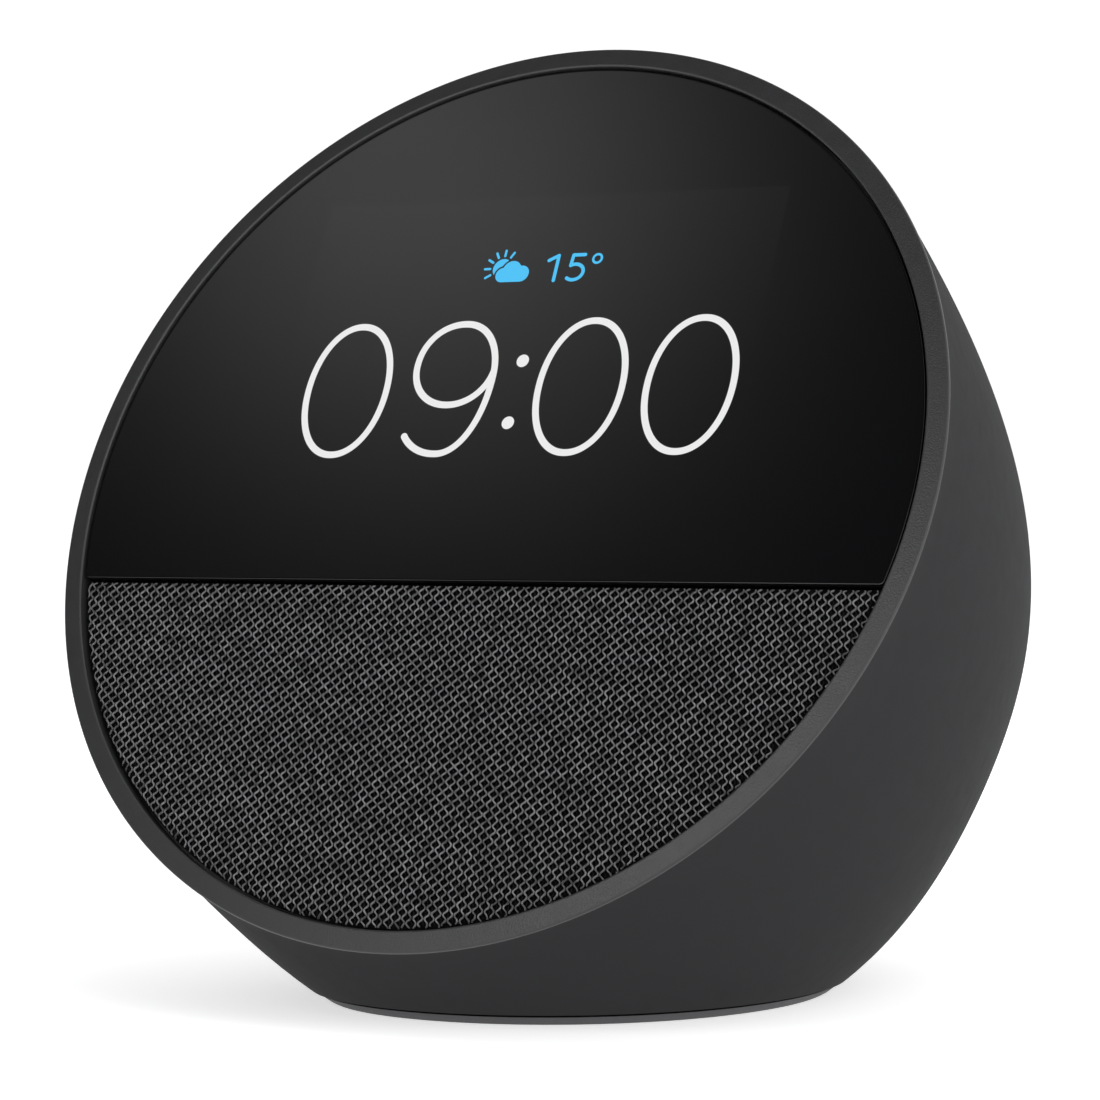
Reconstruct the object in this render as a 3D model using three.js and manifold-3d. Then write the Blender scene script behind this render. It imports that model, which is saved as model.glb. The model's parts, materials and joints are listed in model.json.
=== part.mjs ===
// Smart speaker with a tilted round front: a glass display above a knitted grille, and an egg-shaped body behind.
// Millimetres, +Z up, front towards -Y. The origin is on the table, under the middle of the object's box.
import * as THREE from 'three';
import { mergeVertices } from 'three/addons/utils/BufferGeometryUtils.js';
import Module from 'manifold-3d';

const wasm = await Module();
wasm.setup();

// ---- driving dimensions ----

const discRadius = 56.5;                 // round front, outer edge
const discTilt = THREE.MathUtils.degToRad(25); // leans back from upright
const discY = -35.7;                     // centre of the round front
const discZ = 60.2;
const splitV = -12.5;                    // line between glass and fabric, measured up the front

const wall = 2.2;                        // shell thickness
const lipWall = 1.2;                     // shell thickness at the front edge
const fitGap = 0.3;                      // clearance between neighbours
const footHeight = 1.0;
const shellBottomZ = footHeight + fitGap;

// the body's outline from the front edge to the pole low on its back
const pole = new THREE.Vector3(0, discY + 72.9, 10);
const poleTilt = THREE.MathUtils.degToRad(55.1);
const apex = new THREE.Vector3(0, discY + 168.1, 20); // the front edge sets off towards this point
const rimHandle = 4;
const rimHandleSides = 4.7;
const poleHandle = 79.9;
const poleHandleTop = 5;
const poleHandleSides = -29.2;

const ringWidth = 2.5;
const ringBore = discRadius - ringWidth;
const glassRadius = ringBore - fitGap;
const glassFrontW = 0.35;
const glassBackW = 2.1;
const ledgeW = 2.4;                      // ring ledge that the glass and grille rest on
const ledgeRadius = 52.6;
const skirtRadius = discRadius - lipWall - fitGap;
const skirtBackW = 3.2;
const ringEdge = 0.4;                    // thickness of the ring's outer edge

const driverV = -27;                     // loudspeaker axis
const driverFlangeRadius = 24;
const driverScrewRadius = 22.7;

const boardFrontW = 13;
const boardBackW = 14.4;

const keyPitch = 15;                     // three buttons side by side
const keyRadius = 4.6;
const keyStep = 0.3;                     // how far along the outline the buttons sit, 0 at the front edge
const jackZ = 16;

// ---- materials ----

function plastic(color, roughness) {
  return new THREE.MeshStandardMaterial({ color, roughness, metalness: 0 });
}

function metal(color, roughness) {
  return new THREE.MeshStandardMaterial({ color, roughness, metalness: 1 });
}

const shellPlastic = plastic(0x3a3b3d, 0.62);
const ringPlastic = plastic(0x3e3f41, 0.7);
const footRubber = plastic(0x464749, 0.85);
const glass = plastic(0x0b0c0e, 0.08);
const fabric = plastic(0x2a2b2e, 0.95);
const innerPlastic = plastic(0x1b1c1e, 0.7);
const boardGreen = plastic(0x174a2d, 0.55);
const flexAmber = plastic(0x9a5a1c, 0.5);
const leadRubber = plastic(0x17181a, 0.6);
const softRubber = plastic(0x202124, 0.9);
const paperCone = plastic(0x27282a, 0.85);
const whitePlastic = plastic(0xd9d8d2, 0.5);
const steel = metal(0xa7a9ac, 0.35);
const darkSteel = metal(0x4c4d50, 0.4);
const ferrite = plastic(0x2b2b2e, 0.6);
const copper = metal(0xb36a3a, 0.35);
const aluminium = metal(0xc3c6c9, 0.4);

// ---- solids ----

function signedVolume(geometry) {
  const p = geometry.attributes.position;
  const index = geometry.index.array;
  const a = new THREE.Vector3();
  const b = new THREE.Vector3();
  const c = new THREE.Vector3();
  let sum = 0;
  for (let i = 0; i < index.length; i += 3) {
    a.fromBufferAttribute(p, index[i]);
    b.fromBufferAttribute(p, index[i + 1]);
    c.fromBufferAttribute(p, index[i + 2]);
    sum += a.dot(b.cross(c));
  }
  return sum;
}

// merges shared corners, drops collapsed triangles and turns the faces outwards
function closed(geometry) {
  geometry.deleteAttribute('normal');
  geometry.deleteAttribute('uv');
  const merged = mergeVertices(geometry, 1e-4);
  const old = merged.index.array;
  const kept = [];
  for (let i = 0; i < old.length; i += 3) {
    const [a, b, c] = [old[i], old[i + 1], old[i + 2]];
    if (a !== b && b !== c && c !== a) kept.push(a, b, c);
  }
  merged.setIndex(kept);
  if (signedVolume(merged) < 0) {
    for (let i = 0; i < kept.length; i += 3) {
      [kept[i + 1], kept[i + 2]] = [kept[i + 2], kept[i + 1]];
    }
    merged.setIndex(kept);
  }
  return merged;
}

function solid(geometry) {
  const tidy = closed(geometry);
  return new wasm.Manifold(new wasm.Mesh({
    numProp: 3,
    vertProperties: new Float32Array(tidy.attributes.position.array),
    triVerts: new Uint32Array(tidy.index.array),
  }));
}

function skin(manifold) {
  const mesh = manifold.getMesh();
  const geometry = new THREE.BufferGeometry();
  geometry.setAttribute('position', new THREE.BufferAttribute(new Float32Array(mesh.vertProperties), 3));
  geometry.setIndex(Array.from(mesh.triVerts));
  return geometry;
}

// the disc frame: x across, y into the front, z up the front
const discMatrix = new THREE.Matrix4().makeRotationX(-discTilt).setPosition(0, discY, discZ);
const toDiscFrame = discMatrix.clone().invert();

// outline drawn in x and z, thick from w0 to w1 along y
function plate(shape, w0, w1, curveSegments = 24) {
  const geometry = new THREE.ExtrudeGeometry(shape, { depth: w1 - w0, bevelEnabled: false, curveSegments });
  geometry.rotateX(Math.PI / 2);
  geometry.scale(1, -1, 1);
  geometry.translate(0, w0, 0);
  return geometry;
}

function box(x0, x1, y0, y1, z0, z1) {
  const geometry = new THREE.BoxGeometry(x1 - x0, y1 - y0, z1 - z0);
  return geometry.translate((x0 + x1) / 2, (y0 + y1) / 2, (z0 + z1) / 2);
}

// round bar along y
function rod(radius, x, z, w0, w1, sides = 24) {
  const geometry = new THREE.CylinderGeometry(radius, radius, w1 - w0, sides);
  return geometry.translate(x, (w0 + w1) / 2, z);
}

// round bar along z
function post(radius, x, y, z0, z1, sides = 24) {
  const geometry = new THREE.CylinderGeometry(radius, radius, z1 - z0, sides);
  geometry.rotateX(Math.PI / 2);
  return geometry.translate(x, y, (z0 + z1) / 2);
}

// turned about the y axis, the profile given as [radius, depth] pairs
function turned(profile, segments = 32) {
  const points = profile.map(([r, w]) => new THREE.Vector2(r, w));
  return new THREE.LatheGeometry(points, segments);
}

function turnedRing(profile, segments = 32) {
  return turned([...profile, profile[0]], segments);
}

function roundedRect(x0, x1, z0, z1, r) {
  const shape = new THREE.Shape();
  shape.moveTo(x0 + r, z0);
  shape.lineTo(x1 - r, z0);
  shape.absarc(x1 - r, z0 + r, r, -Math.PI / 2, 0);
  shape.lineTo(x1, z1 - r);
  shape.absarc(x1 - r, z1 - r, r, 0, Math.PI / 2);
  shape.lineTo(x0 + r, z1);
  shape.absarc(x0 + r, z1 - r, r, Math.PI / 2, Math.PI);
  shape.lineTo(x0, z0 + r);
  shape.absarc(x0 + r, z0 + r, r, Math.PI, Math.PI * 1.5);
  return shape;
}

// the part of a round plate above (side 1) or below (side -1) the line v
function discSegment(radius, v, side) {
  const half = Math.asin(v / radius);
  const shape = new THREE.Shape();
  if (side > 0) shape.absarc(0, 0, radius, half, Math.PI - half);
  else shape.absarc(0, 0, radius, Math.PI - half, 2 * Math.PI + half);
  shape.closePath();
  return shape;
}

// strip of the given width along x that follows [depth, height] points
function ribbon(points, width, thickness, x) {
  const left = [];
  const right = [];
  points.forEach(([w, v], i) => {
    const [w0, v0] = points[Math.max(i - 1, 0)];
    const [w1, v1] = points[Math.min(i + 1, points.length - 1)];
    const length = Math.hypot(w1 - w0, v1 - v0);
    const [nw, nv] = [-(v1 - v0) / length * thickness / 2, (w1 - w0) / length * thickness / 2];
    left.push(new THREE.Vector2(w + nw, v + nv));
    right.unshift(new THREE.Vector2(w - nw, v - nv));
  });
  const shape = new THREE.Shape([...left, ...right]);
  const geometry = new THREE.ExtrudeGeometry(shape, { depth: width, bevelEnabled: false });
  geometry.translate(0, 0, -width / 2);
  geometry.applyMatrix4(new THREE.Matrix4().makeBasis(
    new THREE.Vector3(0, 1, 0), new THREE.Vector3(0, 0, 1), new THREE.Vector3(1, 0, 0)));
  return geometry.translate(x, 0, 0);
}

function lead(points, radius, steps) {
  const path = new THREE.CatmullRomCurve3(points.map((p) => new THREE.Vector3(...p)));
  const section = new THREE.Shape();
  section.absarc(0, 0, radius, 0, Math.PI * 2);
  return new THREE.ExtrudeGeometry(section, { extrudePath: path, steps, curveSegments: 4, bevelEnabled: false });
}

// ---- the body's outer surface ----

// angle runs round the front edge from +X, s from the front edge (0) to the pole (1)
function bodyPoint(angle, s, inset) {
  const across = Math.cos(angle);
  const up = Math.sin(angle);
  const start = new THREE.Vector3(across, 0, up).multiplyScalar(discRadius - inset).applyMatrix4(discMatrix);
  const outward = new THREE.Vector3(0, Math.cos(poleTilt), -Math.sin(poleTilt));
  const end = pole.clone().addScaledVector(outward, -inset);
  const leave = apex.clone().sub(start).normalize().multiplyScalar(rimHandle + rimHandleSides * across ** 2);
  const arriveLength = poleHandle + poleHandleTop * up + poleHandleSides * across ** 2 - inset;
  const arrive = new THREE.Vector3(across, up * Math.sin(poleTilt), up * Math.cos(poleTilt));
  const curve = new THREE.CubicBezierCurve3(
    start, start.clone().add(leave), end.clone().addScaledVector(arrive, arriveLength), end);
  return curve.getPoint(s);
}

// the whole egg shape as a closed solid, its front a flat disc
function bodySolid(inset, around = 40, along = 12) {
  const vertices = [];
  const faces = [];
  for (let j = 0; j < along; j++) {
    for (let i = 0; i < around; i++) {
      vertices.push(...bodyPoint((2 * Math.PI * i) / around, j / along, inset).toArray());
    }
  }
  const front = vertices.length / 3;
  vertices.push(0, discY, discZ, ...bodyPoint(0, 1, inset).toArray());
  for (let i = 0; i < around; i++) {
    const n = (i + 1) % around;
    faces.push(front, n, i);
    for (let j = 0; j < along - 1; j++) {
      const a = j * around;
      faces.push(a + i, a + n, a + around + i, a + n, a + around + n, a + around + i);
    }
    const last = (along - 1) * around;
    faces.push(last + i, last + n, front + 1);
  }
  const geometry = new THREE.BufferGeometry();
  geometry.setAttribute('position', new THREE.Float32BufferAttribute(vertices, 3));
  geometry.setIndex(faces);
  return solid(geometry);
}

const outerBody = bodySolid(0, 56, 16);
const insideShell = bodySolid(wall + 0.6);
const insideShellDisc = solid(skin(insideShell).applyMatrix4(toDiscFrame));

// keeps a disc-frame piece clear of the shell
function trimmed(manifold) {
  return manifold.intersect(insideShellDisc);
}

// ---- assembly ----

const speaker = new THREE.Group();
const front = new THREE.Group();
front.position.set(0, discY, discZ);
front.rotation.x = -discTilt;
speaker.add(front);

function add(group, name, geometry, material) {
  const mesh = new THREE.Mesh(closed(geometry), material);
  mesh.name = name;
  group.add(mesh);
}

// ---- front: ring, glass, grille, display ----

function frontRing() {
  const edge = 0.2;
  return turnedRing([
    [ringBore, edge], [ringBore + edge, 0], [discRadius - edge, 0], [discRadius, edge], [discRadius, ringEdge],
    [skirtRadius, ringEdge], [skirtRadius, skirtBackW], [ledgeRadius, skirtBackW], [ledgeRadius, ledgeW],
    [ringBore, ledgeW],
  ], 64);
}

// stiff plate behind the knit, pierced by a honeycomb of round holes
function grilleFrame() {
  let body = solid(plate(discSegment(glassRadius, splitV - fitGap / 2, -1), 1.4, glassBackW, 40));
  const pitch = 7;
  const row = pitch * Math.sqrt(3) / 2;
  const reach = glassRadius - 5;
  for (let j = 0; j < 6; j++) {
    const v = splitV - 4 - j * row;
    for (let i = -10; i <= 10; i++) {
      const x = (i + (j % 2) / 2) * pitch;
      if (Math.hypot(x, v) < reach) body = body.subtract(solid(rod(2.4, x, v, 0, 4, 6)));
    }
  }
  return skin(body);
}

// round carrier with a wall that meets the ring, a window for the loudspeaker and posts for the board
const boardPosts = [[-33, 8], [33, 8], [0, 44]];

function frontChassis() {
  const back = 8.2;
  const floor = 6.4;
  let body = solid(rod(53, 0, 0, ledgeW + 1.1, back, 48));
  body = body.subtract(solid(rod(51.4, 0, 0, 0, floor, 72)));
  body = body.intersect(solid(rod(ledgeRadius - 0.2, 0, 0, 0, back + 1, 48)));
  for (const [x, v] of boardPosts) body = body.add(solid(rod(2.6, x, v, floor + 0.5, boardFrontW - fitGap, 16)));
  body = body.subtract(solid(rod(20.2, 0, driverV, 0, 20, 40)));
  body = body.subtract(solid(box(-9, 9, 0, 20, 44.5, 47)).translate([14, 0, -0.5]));
  for (const [x, v] of boardPosts) body = body.subtract(solid(rod(1.25, x, v, 9, 20, 12)));
  return skin(trimmed(body));
}

add(front, 'front_ring', frontRing(), ringPlastic);
add(front, 'display_lens',
  plate(discSegment(glassRadius, splitV + fitGap / 2, 1), glassFrontW, glassBackW, 60), glass);
add(front, 'grille_fabric', plate(discSegment(glassRadius, splitV - fitGap / 2, -1), 0.5, 1.1, 40), fabric);
add(front, 'grille_frame', grilleFrame(), innerPlastic);
add(front, 'touch_sensor', plate(roundedRect(-32.5, 32.5, -11, 40, 4), 2.4, 2.7, 6), flexAmber);
add(front, 'lcd_panel', plate(roundedRect(-33, 33, -11.5, 40.3, 4), 3.0, 5.2, 6), whitePlastic);
add(front, 'lcd_tray', plate(roundedRect(-33.6, 33.6, -12, 41, 5), 5.5, 6.1, 6), steel);
add(front, 'front_chassis', frontChassis(), innerPlastic);

// ---- loudspeaker ----

const driverScrewAngles = [45, 135, 225, 315].map(THREE.MathUtils.degToRad);

function driverScrewSpot(angle) {
  return [driverScrewRadius * Math.cos(angle), driverScrewRadius * Math.sin(angle)];
}

function driverBasket() {
  let body = solid(turnedRing([
    [19.4, 10], [driverFlangeRadius, 10], [driverFlangeRadius, 11], [20.6, 11], [15.8, 18.6], [15.8, 21],
    [7, 21], [7, 20], [13.2, 20], [13.2, 18.4], [15, 18.4], [15, 18],
  ], 28));
  for (const turn of [0, 1, 2, 3]) {
    const window = solid(box(-5.5, 5.5, 12.5, 17.2, 10, 24).rotateY(turn * Math.PI / 2));
    body = body.subtract(window);
  }
  for (const angle of driverScrewAngles) {
    const [x, z] = driverScrewSpot(angle);
    body = body.subtract(solid(rod(1.25, x, z, 9, 12, 12)));
  }
  return skin(body);
}

function driverSurround() {
  const thickness = 0.4;
  const [inner, outer] = [17.2, 19.9];
  const middle = (inner + outer) / 2;
  const roll = (outer - inner) / 2;
  const frontSide = [];
  const backSide = [];
  for (let i = 0; i <= 4; i++) {
    const a = (Math.PI * i) / 4;
    frontSide.push([middle - roll * Math.cos(a), 9.2 - roll * Math.sin(a)]);
    backSide.unshift([middle - (roll - thickness) * Math.cos(a), 9.2 - (roll - thickness) * Math.sin(a)]);
  }
  return turnedRing([
    [15.6, 9.2], ...frontSide, [21.2, 9.2], [21.2, 9.65], [outer - thickness, 9.65],
    ...backSide, [inner + thickness, 9.65], [15.6, 9.65],
  ], 24);
}

function spider() {
  const frontSide = [];
  const backSide = [];
  const waves = 6;
  for (let i = 0; i <= waves; i++) {
    const r = 6.1 + (8 * i) / waves;
    const w = 17.7 + (i % 2 ? 0.35 : -0.35) * (i > 0 && i < waves);
    frontSide.push([r, w]);
    backSide.unshift([r, w + 0.4]);
  }
  return turnedRing([...frontSide, ...backSide], 20);
}

const driver = new THREE.Group();
driver.position.set(0, 0, driverV);
front.add(driver);

add(driver, 'driver_gasket', turnedRing([[20.5, 8.5], [21.2, 8.5], [21.2, 8.9], [20.5, 8.9]], 40), softRubber);
add(driver, 'driver_surround', driverSurround(), softRubber);
add(driver, 'driver_cone', turnedRing([[16.8, 10], [16.8, 10.5], [6.1, 16.4], [6.1, 15.9]], 32), paperCone);
add(driver, 'dust_cap', turned([
  [0, 12.6], [2.4, 12.9], [4.6, 13.8], [6.4, 15.1], [6.4, 15.45], [4.5, 14.3], [2.3, 13.4], [0, 13.1],
], 24), softRubber);
add(driver, 'voice_coil', turnedRing([[5.2, 15.8], [5.7, 15.8], [5.7, 24.6], [5.2, 24.6]], 28), copper);
add(driver, 'spider', spider(), paperCone);
add(driver, 'driver_basket', driverBasket(), darkSteel);
add(driver, 'top_plate', turnedRing([[6.2, 21.3], [14, 21.3], [14, 23.3], [6.2, 23.3]], 32), steel);
add(driver, 'magnet', turnedRing([[8.2, 23.6], [15, 23.6], [15, 28.6], [8.2, 28.6]], 32), ferrite);
add(driver, 'pole_plate', turned([[0, 21.6], [4.6, 21.6], [4.6, 28.9], [14, 28.9], [14, 30.9], [0, 30.9]], 32), steel);

// pan head screw, its head at the low end of y
function screw(headRadius, headHeight, shankRadius, length) {
  return turned([
    [0, 0], [headRadius * 0.8, 0], [headRadius, headHeight * 0.4], [headRadius, headHeight],
    [shankRadius, headHeight], [shankRadius, length], [0, length],
  ], 8);
}

driverScrewAngles.forEach((angle, i) => {
  const [x, z] = driverScrewSpot(angle);
  add(driver, `driver_screw_${i + 1}`, screw(1.2, 0.8, 0.8, 5).translate(x, 8.9, z), steel);
});

// ---- sealed box behind the loudspeaker ----

const boxHalf = 27;
const boxTopV = -1;
const boxFrontW = 11.3;
const boxBackW = 46;
const boxWall = 1.8;
const boxLowZ = 4.4;
const cornerX = 11.3;                     // the box steps up beyond this, over the base bosses
const cornerZ = 10;
const leadX = 16;

// the box's outer form, or its hollow when the inset is the wall's thickness
function boxForm(inset) {
  let body = solid(box(-boxHalf + inset, boxHalf - inset, boxFrontW + inset, boxBackW - inset, -56, boxTopV - inset));
  body = body.intersect(solid(skin(bodySolid(wall + 1 + inset)).applyMatrix4(toDiscFrame)));
  const low = solid(box(-60, 60, -60, 60, -40, boxLowZ + inset).applyMatrix4(toDiscFrame));
  body = body.subtract(low);
  for (const side of [-1, 1]) {
    const x0 = side * (cornerX - inset);
    const corner = box(Math.min(x0, side * 60), Math.max(x0, side * 60), -60, 60, -40, cornerZ + inset);
    body = body.subtract(solid(corner.applyMatrix4(toDiscFrame)));
  }
  return body;
}

function speakerEnclosure() {
  let body = boxForm(0).subtract(boxForm(boxWall));
  body = body.subtract(solid(rod(20.9, 0, driverV, 5, boxFrontW + boxWall + 0.5, 40)));
  for (const angle of driverScrewAngles) {
    const [x, z] = driverScrewSpot(angle);
    body = body.subtract(solid(rod(1.25, x, driverV + z, 10, 16, 12)));
  }
  body = body.subtract(solid(post(1.5, leadX, 18.5, boxTopV - 6, boxTopV + 3, 12)));
  return skin(body);
}

add(front, 'speaker_enclosure', speakerEnclosure(), innerPlastic);

// ---- electronics ----

function mainBoard() {
  let body = solid(plate(roundedRect(-38, 38, 2, 47.5, 3), boardFrontW, boardBackW, 4));
  for (const [x, v] of boardPosts) body = body.subtract(solid(rod(1.25, x, v, 0, 20, 12)));
  return skin(trimmed(body));
}

// finned cooling plate
function heatSpreader() {
  const [left, right, base, tip, fin, gap] = [-23, 23, 17.2, 22, 1.2, 4.4];
  const shape = new THREE.Shape();
  shape.moveTo(left, base);
  shape.lineTo(right, base);
  const count = Math.floor((right - left - fin) / (fin + gap));
  let x = right;
  for (let i = 0; i <= count; i++) {
    shape.lineTo(x, tip);
    shape.lineTo(x - fin, tip);
    if (i < count) {
      shape.lineTo(x - fin, base + 1.3);
      shape.lineTo(x - fin - gap, base + 1.3);
    }
    x -= fin + gap;
  }
  shape.lineTo(x + gap, base + 1.3);
  shape.lineTo(left, base + 1.3);
  const geometry = new THREE.ExtrudeGeometry(shape, { depth: 27, bevelEnabled: false });
  return geometry.translate(0, 0, 8);
}

add(front, 'main_board', mainBoard(), boardGreen);
add(front, 'processor_shield', plate(roundedRect(-12, 12, 12, 34, 1), boardBackW + fitGap, 16.9, 3), steel);
add(front, 'radio_shield', plate(roundedRect(-35, -25, 16, 30, 1), boardBackW + fitGap, 16.5, 3), steel);
add(front, 'heat_spreader', heatSpreader(), aluminium);
add(front, 'display_connector', box(8, 20, 11.2, boardFrontW - fitGap, 38, 42), whitePlastic);
add(front, 'power_connector', box(27, 35, boardBackW + fitGap, 19.5, 14, 19), whitePlastic);
for (const [side, name] of [[-1, 'antenna_left'], [1, 'antenna_right']]) {
  add(front, name, plate(roundedRect(side * 42 - 3, side * 42 + 3, 2, 24, 1), 8.5, 8.9, 3), flexAmber);
}
boardPosts.forEach(([x, v], i) => {
  const geometry = screw(2, 1.2, 0.95, 6).rotateX(Math.PI).translate(x, boardBackW + 1.5, v);
  add(front, `board_screw_${i + 1}`, geometry, steel);
});

add(front, 'display_flex', ribbon([[4.1, 41.4], [4.1, 44.2], [5, 45.2], [9.5, 45.2], [10.9, 44.2], [11.8, 42.4]],
  12, 0.3, 14), flexAmber);
add(front, 'speaker_lead', lead([[leadX, 15.6, 4], [leadX, 17, 2], [leadX, 18.5, -3], [leadX, 18.5, -7],
  [14, 18.3, -12]], 0.8, 12), leadRubber);

// ---- rear shell with its bosses ----

const bossSpots = [[-15, discY + 11], [15, discY + 11], [-13, discY + 36], [13, discY + 36]];
const bossTopZ = 9.5;

// post for a base screw, tied to the side of the shell by a rib
function boss(x, y) {
  const z0 = 3.3 + fitGap;
  const rib = x > 0 ? box(x, 60, y - 1, y + 1, z0, bossTopZ) : box(-60, x, y - 1, y + 1, z0, bossTopZ);
  return solid(post(3.2, x, y, z0, bossTopZ, 16)).add(solid(rib)).intersect(bodySolid(wall / 2));
}

// where the row of buttons sits: a point of the top outline and the way out of the surface there
const keySeat = bodyPoint(Math.PI / 2, keyStep, 0);
const keyBack = bodyPoint(Math.PI / 2, keyStep + 0.02, 0).sub(bodyPoint(Math.PI / 2, keyStep - 0.02, 0)).normalize();
const keyOut = new THREE.Vector3(1, 0, 0).cross(keyBack).normalize();
const keyMatrix = new THREE.Matrix4().makeBasis(new THREE.Vector3(1, 0, 0), keyBack, keyOut).setPosition(keySeat);
const keyNames = ['volume_down', 'mic_mute', 'volume_up'];

// how far back the outline is at a given height, below its widest point
function backYAt(z) {
  let [low, high] = [0.7, 1];
  for (let i = 0; i < 30; i++) {
    const middle = (low + high) / 2;
    if (bodyPoint(Math.PI / 2, middle, 0).z > z) low = middle;
    else high = middle;
  }
  return bodyPoint(Math.PI / 2, low, 0).y;
}

const jackY = backYAt(jackZ);

function rearShell() {
  let body = outerBody.subtract(bodySolid(wall));
  for (const [x, y] of bossSpots) body = body.add(boss(x, y));
  body = body.subtract(solid(rod(discRadius + 5, 0, 0, -5, ringEdge + fitGap, 12).applyMatrix4(discMatrix)));
  body = body.subtract(solid(rod(discRadius - lipWall, 0, 0, -5, skirtBackW + fitGap, 56).applyMatrix4(discMatrix)));
  body = body.subtract(solid(box(-80, 80, -80, 80, -30, shellBottomZ)));
  for (const [x, y] of bossSpots) body = body.subtract(solid(post(1.25, x, y, 0, bossTopZ - 2, 12)));
  keyNames.forEach((name, i) => {
    const hole = post(keyRadius + fitGap, (i - 1) * keyPitch, 0, -12, 8, 28);
    body = body.subtract(solid(hole.applyMatrix4(keyMatrix)));
  });
  for (const x of [-keyPitch / 2, keyPitch / 2]) {
    body = body.subtract(solid(post(0.6, x, 0, -12, 8, 8).applyMatrix4(keyMatrix)));
  }
  body = body.subtract(solid(rod(5.2, 0, jackZ, jackY - 12, jackY + 12, 28)));
  return skin(body);
}

add(speaker, 'rear_shell', rearShell(), shellPlastic);

// ---- buttons on top ----

const keys = new THREE.Group();
keyMatrix.decompose(keys.position, keys.quaternion, keys.scale);
speaker.add(keys);
const bodyInKeys = solid(skin(outerBody).applyMatrix4(keyMatrix.clone().invert()));

function keyCap(x) {
  const capBottom = -7.4;
  const flange = solid(post(keyRadius + 0.9, x, 0, capBottom, capBottom + 0.8, 24));
  return skin(solid(post(keyRadius, x, 0, capBottom + 0.4, 6, 28)).intersect(bodyInKeys).add(flange));
}

function tactSwitch(x) {
  return skin(solid(box(x - 2.6, x + 2.6, -2.6, 2.6, -11.6, -8.8)).subtract(solid(post(1.5, x, 0, -11, -8, 12))));
}

function buttonBoard() {
  const shape = roundedRect(-24, 24, -6.5, 6.5, 2);
  const geometry = new THREE.ExtrudeGeometry(shape, { depth: 1.2, bevelEnabled: false, curveSegments: 4 });
  const inKeys = skin(insideShell).applyMatrix4(keyMatrix.clone().invert());
  return skin(solid(geometry.translate(0, 0, -13.1)).intersect(solid(inKeys)));
}

keyNames.forEach((name, i) => {
  const x = (i - 1) * keyPitch;
  add(keys, `${name}_button`, keyCap(x), shellPlastic);
  add(keys, `${name}_plunger`, post(1.2, x, 0, -10.2, -7.7, 12), whitePlastic);
  add(keys, `${name}_switch`, tactSwitch(x), darkSteel);
});
add(keys, 'button_board', buttonBoard(), boardGreen);
for (const [side, name] of [[-1, 'mic_left'], [1, 'mic_right']]) {
  const x = side * keyPitch / 2;
  add(keys, name, box(x - 1.7, x + 1.7, -1.3, 1.3, -11.6, -10.5), steel);
}

// ---- power inlet ----

const jackHalf = 5.5;
const jackCollar = 4.9;
const jackLowZ = jackZ - jackHalf;

function powerJack() {
  const box1 = solid(box(-jackHalf, jackHalf, jackY - 19, jackY - 3, jackLowZ, jackZ + jackHalf));
  const collar = solid(rod(jackCollar, 0, jackZ, jackY - 10, jackY + 10, 28)).intersect(bodySolid(0.8));
  let body = box1.intersect(insideShell).add(collar);
  body = body.subtract(solid(rod(2.9, 0, jackZ, jackY - 12, jackY + 12, 20)));
  return skin(body.add(solid(rod(0.95, 0, jackZ, jackY - 13, jackY - 4.5, 12))));
}

function powerBoard() {
  const top = jackLowZ - fitGap;
  return skin(solid(box(-9, 9, jackY - 31, jackY - 4, top - 1.2, top)).intersect(insideShell));
}

add(speaker, 'power_jack', powerJack(), innerPlastic);
add(speaker, 'power_board', powerBoard(), boardGreen);
add(speaker, 'power_lead', lead([
  [0, jackY - 19.4, jackZ], [0, jackY - 23, jackZ + 1], [3, jackY - 27, jackZ + 12], [14, jackY - 30, 44],
  [28, jackY - 37, 58], [31, jackY - 46, 66.5],
], 1.4, 22), leadRubber);

// ---- base ----

// oval hole in the foot, grown or shrunk, from z0 to z1
function footBore(grow, z0, z1) {
  const geometry = post(1, 0, 0, z0, z1, 48);
  return geometry.scale(23 + grow, 27 + grow, 1).translate(0, discY + 22, 0);
}

function basePlate() {
  let body = solid(box(-60, 60, -60, 60, shellBottomZ, 3.3)).intersect(insideShell);
  body = body.add(solid(footBore(-fitGap, 0.5, shellBottomZ + 0.5)));
  for (const x of [-6, 6]) {
    body = body.add(solid(post(2, x, jackY - 28, 3, jackLowZ - 2 * fitGap - 1.2, 12)));
  }
  for (const [x, y] of bossSpots) {
    body = body.subtract(solid(post(2.5, x, y, 0, 2.1, 16)));
    body = body.subtract(solid(post(1.25, x, y, 0, 5, 12)));
  }
  return skin(body);
}

function footRing() {
  const slab = solid(box(-60, 60, -60, 60, 0, footHeight));
  return skin(slab.intersect(bodySolid(0.35, 48, 16)).subtract(solid(footBore(0, -1, 2))));
}

add(speaker, 'base_plate', basePlate(), innerPlastic);
add(speaker, 'foot_ring', footRing(), footRubber);
bossSpots.forEach(([x, y], i) => {
  const geometry = screw(2.2, 1.1, 0.95, 6.2).rotateX(Math.PI / 2).translate(x, y, 0.7);
  add(speaker, `base_screw_${i + 1}`, geometry, steel);
});

// ---- flat lead from the button board to the main board ----

const flexStart = new THREE.Vector3(0, -6, -13.4).applyMatrix4(keyMatrix).applyMatrix4(toDiscFrame);
add(front, 'button_flex', ribbon([
  [flexStart.y + 3, flexStart.z - 0.2], [flexStart.y + 1, flexStart.z - 0.6],
  [boardBackW + 1.6, 38.5], [boardBackW + 0.6, 36.5],
], 8, 0.3, -16), flexAmber);

export default speaker;
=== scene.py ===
import json
import math

import bmesh
import bpy
import numpy as np
from mathutils import Matrix, Vector
from mathutils.bvhtree import BVHTree

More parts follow.
